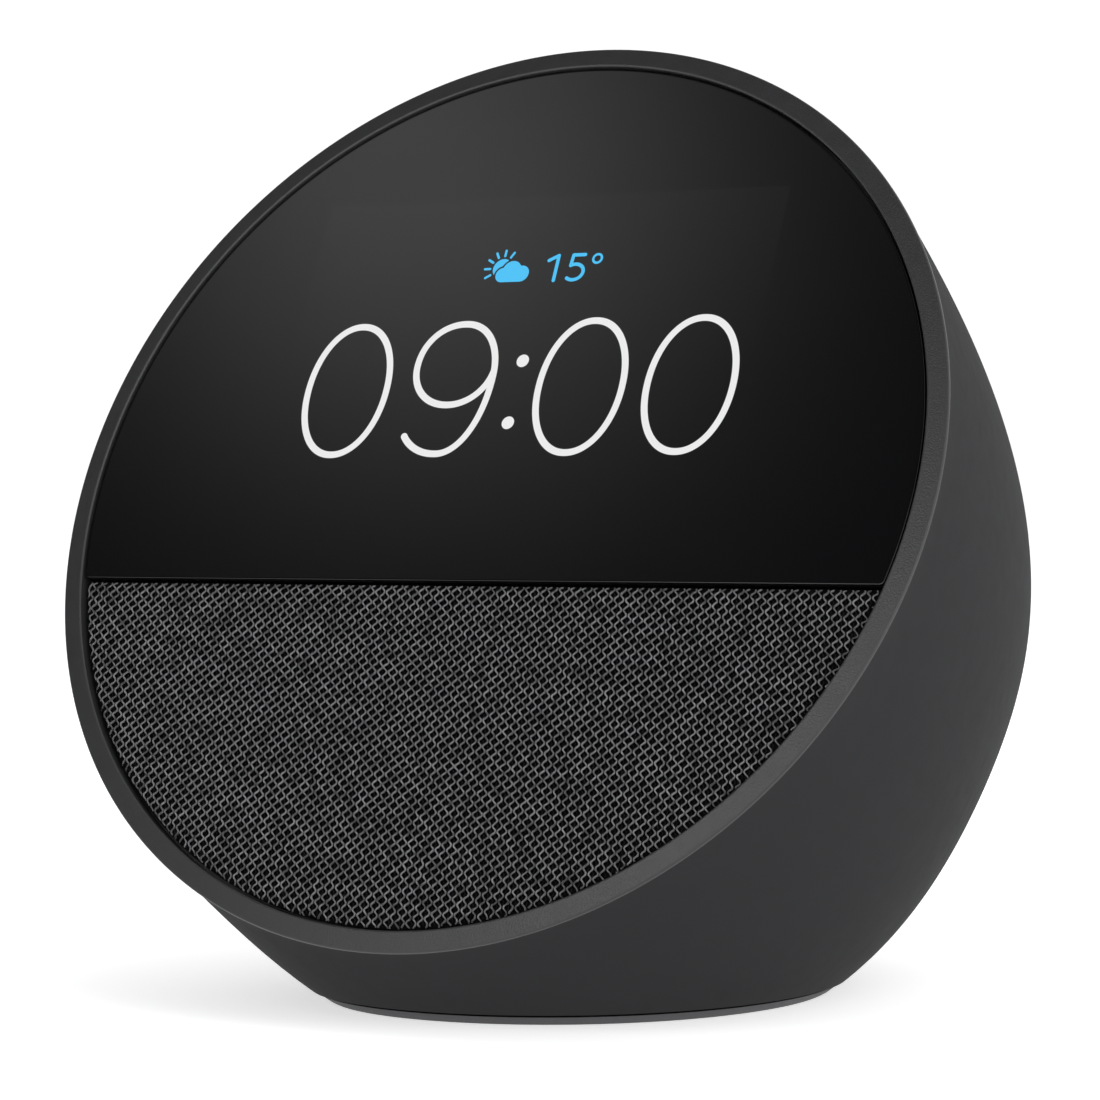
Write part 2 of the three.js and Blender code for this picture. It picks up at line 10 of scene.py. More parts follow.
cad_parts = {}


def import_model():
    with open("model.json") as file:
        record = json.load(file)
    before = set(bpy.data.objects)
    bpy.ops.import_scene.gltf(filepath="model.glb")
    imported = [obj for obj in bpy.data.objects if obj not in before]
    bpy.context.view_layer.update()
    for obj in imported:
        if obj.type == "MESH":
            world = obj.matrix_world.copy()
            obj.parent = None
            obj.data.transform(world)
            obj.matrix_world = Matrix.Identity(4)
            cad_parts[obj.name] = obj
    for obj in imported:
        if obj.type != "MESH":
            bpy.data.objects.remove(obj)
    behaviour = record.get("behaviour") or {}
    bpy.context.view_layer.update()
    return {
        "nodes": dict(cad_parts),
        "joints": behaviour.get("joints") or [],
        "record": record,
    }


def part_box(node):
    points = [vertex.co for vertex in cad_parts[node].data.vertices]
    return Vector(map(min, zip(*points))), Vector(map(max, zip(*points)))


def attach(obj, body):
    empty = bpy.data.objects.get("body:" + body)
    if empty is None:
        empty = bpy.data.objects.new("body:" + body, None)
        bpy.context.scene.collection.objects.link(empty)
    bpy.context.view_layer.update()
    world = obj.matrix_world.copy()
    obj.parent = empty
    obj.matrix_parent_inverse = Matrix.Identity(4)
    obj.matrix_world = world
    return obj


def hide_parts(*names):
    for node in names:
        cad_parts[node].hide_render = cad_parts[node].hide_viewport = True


# Smart speaker with a tilted round front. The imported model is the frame, and everything here is in metres.
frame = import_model()
mm = 0.001
print("frame loaded:", len(frame["nodes"]), "nodes")

# where things are, read from the frame
joints = {j["name"]: j for j in frame["joints"]}
toRight = Vector((1, 0, 0))
toBack = Vector((0, 1, 0))
outOfFront = Vector(joints["cone_stroke"]["axis"])
intoFront = -outOfFront
tilt = math.atan2(outOfFront.z, -outOfFront.y)
upFront = Vector((0, math.sin(tilt), math.cos(tilt)))
ringLow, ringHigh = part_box("front_ring")
discRadius = (ringHigh.x - ringLow.x) / 2
ringChamfer = 0.2 * mm
discCentre = Vector((0, ringLow.y + (discRadius - ringChamfer) * math.sin(tilt),
                     ringHigh.z - discRadius * math.cos(tilt) + ringChamfer * math.sin(tilt)))


def onFront(x, v, w):  # x across, v up the front, w into it
    return discCentre + Vector((x, 0, 0)) + upFront * v + intoFront * w


# front coordinates (x, w, v) to the world
frontMatrix = Matrix.Translation(discCentre) @ Matrix((
    (1, 0, 0, 0),
    (0, intoFront.y, upFront.y, 0),
    (0, intoFront.z, upFront.z, 0),
    (0, 0, 0, 1)))


# mesh helpers; sharp is the angle in degrees above which an edge stays crisp

def smooth(mesh, sharp=None):
    mesh.polygons.foreach_set("use_smooth", [True] * len(mesh.polygons))
    if sharp:
        mesh.set_sharp_from_angle(angle=math.radians(sharp))
    mesh.update()


def makeMesh(name, verts, faces, matrix=None, sharp=None):
    mesh = bpy.data.meshes.new(name)
    mesh.from_pydata([tuple(v) for v in verts], [], [tuple(f) for f in faces])
    if matrix is not None:
        mesh.transform(matrix)
    bm = bmesh.new()
    bm.from_mesh(mesh)
    bmesh.ops.remove_doubles(bm, verts=bm.verts, dist=1e-7)
    bmesh.ops.recalc_face_normals(bm, faces=bm.faces)
    bm.to_mesh(mesh)
    bm.free()
    smooth(mesh, sharp)
    obj = bpy.data.objects.new(name, mesh)
    bpy.context.scene.collection.objects.link(obj)
    return obj


def circle(radius, sides):
    turns = [2 * math.pi * k / sides for k in range(sides)]
    return [(radius * math.cos(a), radius * math.sin(a)) for a in turns]


def gridFaces(rows, cols, closeRows=False, closeCols=True):
    faces = []
    for i in range(rows if closeRows else rows - 1):
        a, b = i * cols, ((i + 1) % rows) * cols
        for j in range(cols if closeCols else cols - 1):
            k = (j + 1) % cols
            faces.append((a + j, a + k, b + k, b + j))
    return faces


def tubeFaces(rows, cols):  # the wall round stacked rings, and a cap at each end
    return gridFaces(rows, cols) + [tuple(range(cols)), tuple(range((rows - 1) * cols, rows * cols))]


# turned about the front's axis, profile as (radius, depth) pairs, closed on itself
def turnedRing(name, profile, sides, matrix, sharp=35):
    verts = [(x, w, v) for r, w in profile for x, v in circle(r, sides)]
    return makeMesh(name, verts, gridFaces(len(profile), sides, closeRows=True), matrix, sharp)


# stacks outlines of equal length into one closed solid
def stackedOutlines(name, outlines, matrix=None, sharp=35):
    verts = [p for outline in outlines for p in outline]
    return makeMesh(name, verts, tubeFaces(len(outlines), len(outlines[0])), matrix, sharp)


def cylinder(origin, axis, side, radius, low, high, sides=64):
    third = axis.cross(side)
    turns = circle(radius, sides)
    verts = [tuple(origin + axis * h + side * p + third * q) for h in (low, high) for p, q in turns]
    return verts, tubeFaces(2, sides)


def fillet(cx, cy, r, a0, a1, steps=5):  # points of a quarter round
    return [(cx + r * math.cos(math.radians(a0 + (a1 - a0) * i / steps)),
             cy + r * math.sin(math.radians(a0 + (a1 - a0) * i / steps))) for i in range(steps + 1)]


def joined(parts):
    verts, faces = [], []
    for v, f in parts:
        base = len(verts)
        verts.extend(v)
        faces.extend(tuple(base + i for i in face) for face in f)
    return verts, faces


def cutOut(obj, parts):
    cutter = makeMesh("cutter", *joined(parts))
    cut = obj.modifiers.new("cut", "BOOLEAN")
    cut.operation = "DIFFERENCE"
    cut.solver = "EXACT"
    cut.object = cutter
    bpy.context.view_layer.update()
    evaluated = obj.evaluated_get(bpy.context.evaluated_depsgraph_get())
    mesh = bpy.data.meshes.new_from_object(evaluated)
    obj.modifiers.clear()
    obj.data = mesh
    bpy.data.objects.remove(cutter)


# material helpers

def newMaterial(name):
    mat = bpy.data.materials.new(name)
    mat.use_nodes = True
    nodes, links = mat.node_tree.nodes, mat.node_tree.links
    return mat, nodes, links, nodes["Principled BSDF"]


def objectCoords(nodes, links, scale=(1, 1, 1)):
    coord = nodes.new("ShaderNodeTexCoord")
    mapping = nodes.new("ShaderNodeMapping")
    mapping.inputs["Scale"].default_value = scale
    links.new(coord.outputs["Object"], mapping.inputs["Vector"])
    return mapping.outputs["Vector"]


def noise(nodes, links, vector, scale, detail=2.0, rough=0.5):
    tex = nodes.new("ShaderNodeTexNoise")
    tex.inputs["Scale"].default_value = scale
    tex.inputs["Detail"].default_value = detail
    tex.inputs["Roughness"].default_value = rough
    links.new(vector, tex.inputs["Vector"])
    return tex.outputs["Fac"]


def remap(nodes, links, value, low, high, fromLow=0.0, fromHigh=1.0):
    node = nodes.new("ShaderNodeMapRange")
    node.inputs["From Min"].default_value = fromLow
    node.inputs["From Max"].default_value = fromHigh
    node.inputs["To Min"].default_value = low
    node.inputs["To Max"].default_value = high
    links.new(value, node.inputs["Value"])
    return node.outputs["Result"]


def multiply(nodes, links, first, second):
    node = nodes.new("ShaderNodeMath")
    node.operation = "MULTIPLY"
    links.new(first, node.inputs[0])
    links.new(second, node.inputs[1])
    return node.outputs[0]


def mixColour(nodes, links, factor, first, second):
    node = nodes.new("ShaderNodeMix")
    node.data_type = "RGBA"
    node.inputs[6].default_value = (*first, 1)
    node.inputs[7].default_value = (*second, 1)
    links.new(factor, node.inputs["Factor"])
    return node.outputs[2]


def bump(nodes, links, shader, height, distance):
    node = nodes.new("ShaderNodeBump")
    node.inputs["Distance"].default_value = distance
    links.new(height, node.inputs["Height"])
    links.new(node.outputs["Normal"], shader.inputs["Normal"])


# moulded plastic or rubber: fine grain (depth in mm), slow colour drift, slight gloss drift
def mouldedMaterial(name, colour, roughness, grain=9000, depth=0.01, drift=0.12, specular=0.5,
                    glossDrift=0.06):
    mat, nodes, links, shader = newMaterial(name)
    vector = objectCoords(nodes, links)
    slow = noise(nodes, links, vector, 60, 3)
    dark = tuple(c * (1 - drift) for c in colour)
    light = tuple(min(1, c * (1 + drift)) for c in colour)
    links.new(mixColour(nodes, links, slow, dark, light), shader.inputs["Base Color"])
    gloss = noise(nodes, links, vector, 400, 3)
    glossRange = remap(nodes, links, gloss, roughness - glossDrift, roughness + glossDrift)
    links.new(glossRange, shader.inputs["Roughness"])
    shader.inputs["Specular IOR Level"].default_value = specular
    fine = noise(nodes, links, vector, grain, 2, 0.6)
    bump(nodes, links, shader, fine, depth * mm)
    return mat


# machined or rolled metal with faint directional lines
def metalMaterial(name, colour, roughness, lines=(200, 6000, 200)):
    mat, nodes, links, shader = newMaterial(name)
    vector = objectCoords(nodes, links, scale=lines)
    streak = noise(nodes, links, vector, 1.0, 3)
    dark = tuple(c * 0.8 for c in colour)
    links.new(mixColour(nodes, links, streak, dark, colour), shader.inputs["Base Color"])
    links.new(remap(nodes, links, streak, roughness - 0.08, roughness + 0.1), shader.inputs["Roughness"])
    shader.inputs["Metallic"].default_value = 1.0
    bump(nodes, links, shader, streak, 0.004 * mm)
    return mat


# circuit board: solder mask with faint traces below it
def boardMaterial(name, colour, roughness):
    mat, nodes, links, shader = newMaterial(name)
    vector = objectCoords(nodes, links)
    traces = nodes.new("ShaderNodeTexBrick")
    traces.inputs["Scale"].default_value = 420
    traces.inputs["Mortar Size"].default_value = 0.06
    traces.inputs["Color1"].default_value = (*colour, 1)
    traces.inputs["Color2"].default_value = (*[c * 0.8 for c in colour], 1)
    traces.inputs["Mortar"].default_value = (*[c * 2.2 for c in colour], 1)
    links.new(vector, traces.inputs["Vector"])
    links.new(traces.outputs["Color"], shader.inputs["Base Color"])
    gloss = noise(nodes, links, vector, 500, 2)
    links.new(remap(nodes, links, gloss, roughness, roughness + 0.15), shader.inputs["Roughness"])
    bump(nodes, links, shader, traces.outputs["Fac"], 0.02 * mm)
    return mat


finishes = {  # slot: maker, colour, roughness and extra settings
    "ring_plastic": (mouldedMaterial, (0.022, 0.0223, 0.0233), 0.36,
                     dict(grain=5200, depth=0.04, drift=0.08)),
    "shell_plastic": (mouldedMaterial, (0.024, 0.0244, 0.0256), 0.7,
                      dict(grain=11000, depth=0.006, drift=0.05, specular=0.05)),
    "foot_rubber": (mouldedMaterial, (0.06, 0.061, 0.064), 0.7, dict(grain=7000, depth=0.02)),
    "inner_plastic": (mouldedMaterial, (0.012, 0.012, 0.013), 0.6, dict(grain=6000, depth=0.02)),
    "white_plastic": (mouldedMaterial, (0.7, 0.69, 0.65), 0.45, dict(drift=0.04)),
    "amber_film": (mouldedMaterial, (0.32, 0.11, 0.015), 0.3, dict(depth=0.003)),
    "lead_rubber": (mouldedMaterial, (0.01, 0.01, 0.011), 0.55, dict(depth=0.01)),
    "soft_rubber": (mouldedMaterial, (0.016, 0.016, 0.018), 0.75, dict(depth=0.02)),
    "cone_paper": (mouldedMaterial, (0.022, 0.022, 0.024), 0.85, dict(grain=3000, depth=0.08, drift=0.3)),
    "ferrite": (mouldedMaterial, (0.03, 0.03, 0.033), 0.5, dict(grain=3500, depth=0.05)),
    "dark_steel": (mouldedMaterial, (0.05, 0.05, 0.054), 0.38, dict(depth=0.01)),
    "steel": (metalMaterial, (0.5, 0.5, 0.51), 0.35, {}),
    "copper": (metalMaterial, (0.72, 0.32, 0.16), 0.35, dict(lines=(300, 9000, 300))),
    "aluminium": (metalMaterial, (0.68, 0.69, 0.71), 0.4, {}),
    "circuit_board": (boardMaterial, (0.012, 0.08, 0.035), 0.3, {}),
}
materials = {slotName: maker(slotName, colour, roughness, **extra)
             for slotName, (maker, colour, roughness, extra) in finishes.items()}


def finish(obj, material, body="housing"):
    obj.data.materials.clear()
    obj.data.materials.append(material)
    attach(obj, body)


for part in frame["record"]["subparts"]:
    if part["material_slot"] in materials:
        node = frame["nodes"][part["node"]]
        node.data.materials.clear()
        node.data.materials.append(materials[part["material_slot"]])
print("finishes set on the carried-over pieces")

# the body's outer surface: curved lines that run from the front edge to one low point on the back, the pole
outline = dict(
    poleBack=72.9 * mm, poleHeight=10 * mm, poleLean=55.1,  # the pole and the lean there in degrees
    apexBack=168.1 * mm, apexHeight=20 * mm,  # each line leaves the front edge towards this point
    startPull=4 * mm, startPullSides=4.7 * mm,  # how long it keeps that way
    endPull=79.9 * mm, endPullTop=5 * mm, endPullSides=-29.2 * mm,  # and how early it turns to the pole
    wall=2.2 * mm, lip=1.2 * mm, lipDepth=3.5 * mm, frontGap=0.7 * mm, seamRound=0.12 * mm,
    around=256, along=96, crowding=1.15)  # rows crowd towards the front edge


def bodyLine(angle, s, inset=0.0):  # points of one line from the front edge (s=0) to the pole (s=1)
    s = np.atleast_1d(np.asarray(s, float))[:, None]
    across, up = math.cos(angle), math.sin(angle)
    start = np.array(onFront(across * (discRadius - inset), up * (discRadius - inset), 0))
    lean = math.radians(outline["poleLean"])
    end = np.array([0, discCentre.y + outline["poleBack"], outline["poleHeight"]])
    end = end - inset * np.array([0, math.cos(lean), -math.sin(lean)])
    leave = np.array([0, discCentre.y + outline["apexBack"], outline["apexHeight"]]) - start
    leave *= (outline["startPull"] + outline["startPullSides"] * across ** 2) / np.linalg.norm(leave)
    reach = outline["endPull"] + outline["endPullTop"] * up + outline["endPullSides"] * across ** 2 - inset
    arrive = reach * np.array([across, up * math.sin(lean), up * math.cos(lean)])
    return ((1 - s) ** 3 * start + 3 * (1 - s) ** 2 * s * (start + leave)
            + 3 * (1 - s) * s ** 2 * (end + arrive) + s ** 3 * end)


def depthOf(points):  # distance behind the front's plane
    return (points - np.array(discCentre)) @ np.array(intoFront)


def stepAtDepth(angle, depth, inset):  # where a line passes a depth, within its first third
    s = np.linspace(0, 0.3, 400)
    return float(np.interp(depth, depthOf(bodyLine(angle, s, inset)), s))


def outerSkin(around, along):
    verts = []
    for k in range(around):
        verts.extend(bodyLine(2 * math.pi * k / around, np.linspace(0, 1, along)))
    return [Vector(v) for v in verts], gridFaces(around, along, closeRows=True, closeCols=False)


outerTree = BVHTree.FromPolygons(*outerSkin(180, 90), epsilon=0.0)


def onSkin(spot, axis, inside=0.0):  # where the body's surface is along an axis, met from inside
    hit, _, _, _ = outerTree.ray_cast(spot - axis * inside, axis)
    return hit


# where the keys and the power inlet come out of the shell
keys = dict(pitch=15 * mm, radius=4.6 * mm, gap=0.3 * mm, sunk=0.02 * mm, rim=0.3 * mm, micHole=0.5 * mm,
            flange=0.9 * mm, flangeTop=-6.6 * mm, flangeBottom=-7.4 * mm, cutFrom=-9 * mm, cutTo=6 * mm)
inlet = dict(hole=5.2 * mm, collar=4.9 * mm, socket=2.9 * mm, socketDepth=11.5 * mm, leadIn=0.35 * mm,
             drop=0.8 * mm, rim=0.25 * mm, cut=9 * mm,
             pin=((0.0001 * mm, -4.9 * mm), (0.6 * mm, -4.9 * mm), (0.9 * mm, -5.4 * mm),  # radius and place
                  (0.95 * mm, -6 * mm), (0.95 * mm, -11.6 * mm), (0.0001 * mm, -11.6 * mm)))
keyOut = -Vector(joints["mic_mute_press"]["axis"])
keyBack = keyOut.cross(toRight)
keyBack = keyBack if keyBack.y > 0 else -keyBack
plungerLow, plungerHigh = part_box("mic_mute_plunger")
keySeat = onSkin((plungerLow + plungerHigh) / 2, keyOut)
keySpots = {"volume_down": -keys["pitch"], "mic_mute": 0.0, "volume_up": keys["pitch"]}
jackLow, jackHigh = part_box("power_jack")
inletHeight = (jackLow.z + jackHigh.z) / 2
inletSeat = onSkin(Vector((0, 0, inletHeight)), toBack)


def belowFoot():  # block that trims the shell level where the foot starts
    low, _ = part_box("rear_shell")
    wide = 0.2
    corners = ((-wide, -wide), (wide, -wide), (wide, wide), (-wide, wide))
    return [(x, y, z) for z in (-wide, low.z) for x, y in corners], tubeFaces(2, 4)


def shellHoles():
    cut = (keys["cutFrom"], keys["cutTo"])
    parts = [cylinder(keySeat + toRight * x, keyOut, toRight, keys["radius"] + keys["gap"], *cut)
             for x in keySpots.values()]
    parts += [cylinder(keySeat + toRight * x, keyOut, toRight, keys["micHole"], *cut, 24)
              for x in (-keys["pitch"] / 2, keys["pitch"] / 2)]
    parts.append(cylinder(inletSeat, toBack, toRight, inlet["hole"], -inlet["cut"], inlet["cut"]))
    parts.append(belowFoot())
    return parts


def rearShell():
    around, along, soft = outline["around"], outline["along"], outline["seamRound"]
    lipRadius = discRadius - outline["lip"]
    verts = []
    for k in range(around):
        angle = 2 * math.pi * k / around
        direction = Vector((math.cos(angle), 0, 0)) + upFront * math.sin(angle)
        start = stepAtDepth(angle, outline["frontGap"] + soft, 0)
        outer = bodyLine(angle, start + (1 - start) * np.linspace(0, 1, along) ** outline["crowding"])
        edge = Vector(outer[0])
        verts.extend(outer[::-1])
        verts.append(edge - direction * (soft * 0.3) - intoFront * (soft * 0.7))  # halfway round the edge
        verts.append(edge - direction * soft - intoFront * soft)
        for w in ("frontGap", "lipDepth"):
            verts.append(discCentre + direction * lipRadius + intoFront * outline[w])
        start = stepAtDepth(angle, outline["lipDepth"], outline["wall"])
        verts.extend(bodyLine(angle, start + (1 - start) * np.linspace(0, 1, along // 2), outline["wall"]))
    faces = gridFaces(around, len(verts) // around, closeRows=True, closeCols=False)
    shell = makeMesh("shell_moulding", verts, faces)
    cutOut(shell, shellHoles())
    smooth(shell.data, 28)
    finish(shell, materials["shell_plastic"])
    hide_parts("rear_shell")


rearShell()
print("rear shell made")

ring = dict(width=2.5 * mm, round=0.22 * mm, edge=0.4 * mm, skirtGap=0.3 * mm, ledge=2.4 * mm,
            ledgeRadius=52.6 * mm, skirtDepth=3.2 * mm, slope=0.3 * mm, flatSpan=(0.06, 0.94), sides=320)


def frontRing():
    bore, r = discRadius - ring["width"], ring["round"]
    skirt = discRadius - outline["lip"] - ring["skirtGap"]
    lean = math.degrees(math.atan2(ring["slope"], ring["width"]))
    inner = fillet(bore + r, r, r, 180, 270 + lean)
    outer = fillet(discRadius - r, r + ring["slope"], r, 270 + lean, 360)
    (r0, w0), (r1, w1) = inner[-1], outer[0]
    # a row near each round keeps the face between them flat when it is shaded smooth
    flat = [(r0 + (r1 - r0) * t, w0 + (w1 - w0) * t) for t in ring["flatSpan"]]
    profile = inner + flat + outer
    profile += [(discRadius, ring["edge"] + ring["slope"]), (skirt, ring["edge"] + ring["slope"]),
                (skirt, ring["skirtDepth"]), (ring["ledgeRadius"], ring["skirtDepth"]),
                (ring["ledgeRadius"], ring["ledge"]), (bore, ring["ledge"])]
    obj = turnedRing("ring_moulding", profile, ring["sides"], frontMatrix)
    finish(obj, materials["ring_plastic"])
    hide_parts("front_ring")


frontRing()

glass = dict(radius=53.7 * mm, split=-12.35 * mm, frontDepth=0.35 * mm, backDepth=2.1 * mm, round=0.07 * mm,
             flatFrom=0.15 * mm, backBevel=0.05 * mm, corner=0.5 * mm,
             litHalfWidth=30.9 * mm, litTop=36.75 * mm, litBottom=-9.6 * mm, litEdge=0.1 * mm,
             border=(0.0035, 0.0036, 0.004), lit=(0.0062, 0.0063, 0.0068))


# outline of the part of a disc above or below a level line, its two corners slightly rounded, as (x, v) pairs
def segmentOutline(radius, level, side, corner, count=240):
    if side < 0:
        return [(x, -v) for x, v in segmentOutline(radius, -level, 1, corner, count)]
    cornerV = level + corner
    cornerX = math.sqrt((radius - corner) ** 2 - cornerV ** 2)
    turn = math.atan2(cornerV, cornerX)
    quarter = turn + math.pi / 2
    steps = 8
    points = []
    for i in range(steps + 1):
        a = -math.pi / 2 + quarter * i / steps
        points.append((cornerX + corner * math.cos(a), cornerV + corner * math.sin(a)))
    for i in range(1, count):
        a = turn + (math.pi - 2 * turn) * i / count
        points.append((radius * math.cos(a), radius * math.sin(a)))
    for i in range(steps + 1):
        a = math.pi - turn + quarter * i / steps
        points.append((-cornerX + corner * math.cos(a), cornerV + corner * math.sin(a)))
    return points


# 1 at the top of the screen behind the glass, fading to 0 at its middle, and 0 outside the screen
def litArea(nodes, links):
    middle = (glass["litTop"] + glass["litBottom"]) / 2
    halfHeight = (glass["litTop"] - glass["litBottom"]) / 2
    edge = glass["litEdge"]
    coord = nodes.new("ShaderNodeTexCoord")
    place = nodes.new("ShaderNodeMapping")
    place.vector_type = "TEXTURE"
    place.inputs["Location"].default_value = onFront(0, middle, 0)
    place.inputs["Rotation"].default_value = (-tilt, 0, 0)
    links.new(coord.outputs["Object"], place.inputs["Vector"])
    split = nodes.new("ShaderNodeSeparateXYZ")
    links.new(place.outputs["Vector"], split.inputs["Vector"])
    within = []
    for axis, reach in (("X", glass["litHalfWidth"]), ("Z", halfHeight)):
        size = nodes.new("ShaderNodeMath")
        size.operation = "ABSOLUTE"
        links.new(split.outputs[axis], size.inputs[0])
        within.append(remap(nodes, links, size.outputs[0], 1, 0, reach - edge, reach + edge))
    rise = remap(nodes, links, split.outputs["Z"], 0, 1, 0, halfHeight)
    return multiply(nodes, links, multiply(nodes, links, *within), rise)


def glassMaterial():
    mat, nodes, links, shader = newMaterial("display_glass")
    smear = noise(nodes, links, objectCoords(nodes, links), 90, 3)
    links.new(remap(nodes, links, smear, 0.06, 0.1), shader.inputs["Roughness"])
    shade = mixColour(nodes, links, litArea(nodes, links), glass["border"], glass["lit"])
    links.new(shade, shader.inputs["Base Color"])
    shader.inputs["Specular IOR Level"].default_value = 0.5
    shader.inputs["IOR"].default_value = 1.5
    return mat


def displayGlass():
    r, bevel, front = glass["round"], glass["backBevel"], glass["frontDepth"]
    rows = [(bevel, glass["backDepth"]), (0, glass["backDepth"] - bevel)]  # inset and depth
    turns = [math.radians(i * 15) for i in range(7)]
    rows += [(r - r * math.cos(a), front + r - r * math.sin(a)) for a in turns]
    rows.append((r + glass["flatFrom"], front))  # keeps the face flat when it is shaded smooth
    outlines = []
    for inset, w in rows:
        flat = segmentOutline(glass["radius"] - inset, glass["split"] + inset, 1, glass["corner"])
        outlines.append([(x, w, v) for x, v in flat])
    obj = stackedOutlines("glass_cover", outlines, frontMatrix, 40)
    finish(obj, glassMaterial())
    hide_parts("display_lens")


displayGlass()
print("front ring and display glass made")

# clock figures and weather line, thin lit shapes on the glass
clock = dict(stroke=0.84 * mm, figureMiddle=11.85 * mm, figureHalfHeight=8.35 * mm, figureHalfWidth=5.45 * mm,
             squareness=2.08, zeros=(-21.83 * mm, 9.6 * mm, 23.68 * mm),
             nine=-7.6 * mm, nineHalfWidth=5.3 * mm, nineSquareness=2.1, bowlSquareness=2.05,
             nineShoulder=7 * mm, nineBowl=5.3 * mm, nineBowlFall=5.15 * mm,  # shoulder and bowl from the top
             tailHalfWidth=5.6 * mm, tailRise=5.2 * mm, tailShift=0.1 * mm,
             colon=1.2 * mm, colonHeights=(15.25 * mm, 7.35 * mm), colonRadius=0.8 * mm,
             colour=(0.82, 0.82, 0.82), proud=0.02 * mm, thick=0.05 * mm)
figureDepth = glass["frontDepth"] - clock["proud"]


def emissiveMaterial(name, colour):
    mat, nodes, links, shader = newMaterial(name)
    dots = nodes.new("ShaderNodeTexVoronoi")
    dots.inputs["Scale"].default_value = 5200
    links.new(objectCoords(nodes, links), dots.inputs["Vector"])
    level = remap(nodes, links, dots.outputs["Distance"], 1.0, 0.93)
    dim = tuple(c * 0.9 for c in colour)
    links.new(mixColour(nodes, links, level, dim, colour), shader.inputs["Emission Color"])
    shader.inputs["Emission Strength"].default_value = 1.0
    shader.inputs["Base Color"].default_value = (0.01, 0.01, 0.01, 1)
    shader.inputs["Roughness"].default_value = 0.2
    return mat


def outlineParts(loop, depth, thick):  # flat plate with this outline
    n = len(loop)
    verts = [(q[0], depth, q[1]) for q in loop] + [(q[0], depth + thick, q[1]) for q in loop]
    faces = [tuple(range(n)), tuple(range(n, 2 * n))]
    faces += [(i, (i + 1) % n, n + (i + 1) % n, n + i) for i in range(n)]
    return verts, faces


def loopParts(left, right, depth, thick):  # flat band between two closed lines
    n = len(left)
    verts = [(q.x, w, q.y) for w in (depth, depth + thick) for q in left + right]
    faces = []
    for i in range(n):
        k = (i + 1) % n
        faces.append((i, k, n + k, n + i))
        faces.append((2 * n + i, 3 * n + i, 3 * n + k, 2 * n + k))
        faces.append((i, 2 * n + i, 2 * n + k, k))
        faces.append((n + i, n + k, 3 * n + k, 3 * n + i))
    return verts, faces


def roundEnd(centre, d, radius, steps=8):  # half circle round a stroke's end, d pointing out of it
    turns = [math.pi * i / steps for i in range(1, steps)]
    return [centre + Vector((-d.y * math.cos(t) + d.x * math.sin(t),
                             d.x * math.cos(t) + d.y * math.sin(t))) * radius for t in turns]


# flat stroke of even width along (x, v) points, with round ends or closed on itself
def strokeParts(points, width, closed, depth=figureDepth, thick=clock["thick"]):
    pts = [Vector((p[0], p[1])) for p in points]
    n = len(pts)
    left, right = [], []
    for i, p in enumerate(pts):
        before = pts[(i - 1) % n] if closed or i > 0 else p
        after = pts[(i + 1) % n] if closed or i < n - 1 else p
        d = (after - before).normalized()
        side = Vector((-d.y, d.x)) * (width / 2)
        left.append(p + side)
        right.append(p - side)
    if closed:
        return loopParts(left, right, depth, thick)
    lastEnd = roundEnd(pts[-1], (pts[-1] - pts[-2]).normalized(), width / 2)
    firstEnd = roundEnd(pts[0], (pts[0] - pts[1]).normalized(), width / 2)
    return outlineParts(left + lastEnd + right[::-1] + firstEnd, depth, thick)


def oval(cx, cv, hw, hh, a0, a1, steps, power=2.0):  # superellipse arc in degrees
    points = []
    for i in range(steps + 1):
        a = math.radians(a0 + (a1 - a0) * i / steps)
        c, s = math.cos(a), math.sin(a)
        points.append((cx + hw * math.copysign(abs(c) ** (2 / power), c),
                       cv + hh * math.copysign(abs(s) ** (2 / power), s)))
    return points


def ninePoints():  # the stem with its tail, and the bowl
    cx, hw, power = clock["nine"], clock["nineHalfWidth"], clock["nineSquareness"]
    top = clock["figureMiddle"] + clock["figureHalfHeight"]
    bottom = clock["figureMiddle"] - clock["figureHalfHeight"]
    bowl, shoulder = top - clock["nineBowl"], top - clock["nineShoulder"]
    stem = oval(cx, shoulder, hw, top - shoulder, 90, 0, 24, power)
    stem += oval(cx, shoulder, hw, shoulder - bottom, 0, -90, 24, power)[1:]
    rise = clock["tailRise"]
    stem += oval(cx - clock["tailShift"], bottom + rise, clock["tailHalfWidth"], rise, -90, -146, 14)[1:]
    loop = oval(cx, bowl, hw, top - bowl, 90, 180, 24, power)
    loop += oval(cx, bowl, hw, clock["nineBowlFall"], 180, 350, 44, clock["bowlSquareness"])[1:]
    return stem, loop


def clockFigures():
    parts = []
    for cx in clock["zeros"]:
        points = oval(cx, clock["figureMiddle"], clock["figureHalfWidth"], clock["figureHalfHeight"],
                      0, 360, 120, clock["squareness"])[:-1]
        parts.append(strokeParts(points, clock["stroke"], True))
    parts += [strokeParts(points, clock["stroke"], False) for points in ninePoints()]
    for v in clock["colonHeights"]:
        dot = oval(clock["colon"], v, clock["colonRadius"], clock["colonRadius"], 0, 360, 32)[:-1]
        parts.append(outlineParts(dot, figureDepth, clock["thick"]))
    obj = makeMesh("clock_figures", *joined(parts), frontMatrix, 30)
    finish(obj, emissiveMaterial("clock_light", clock["colour"]))


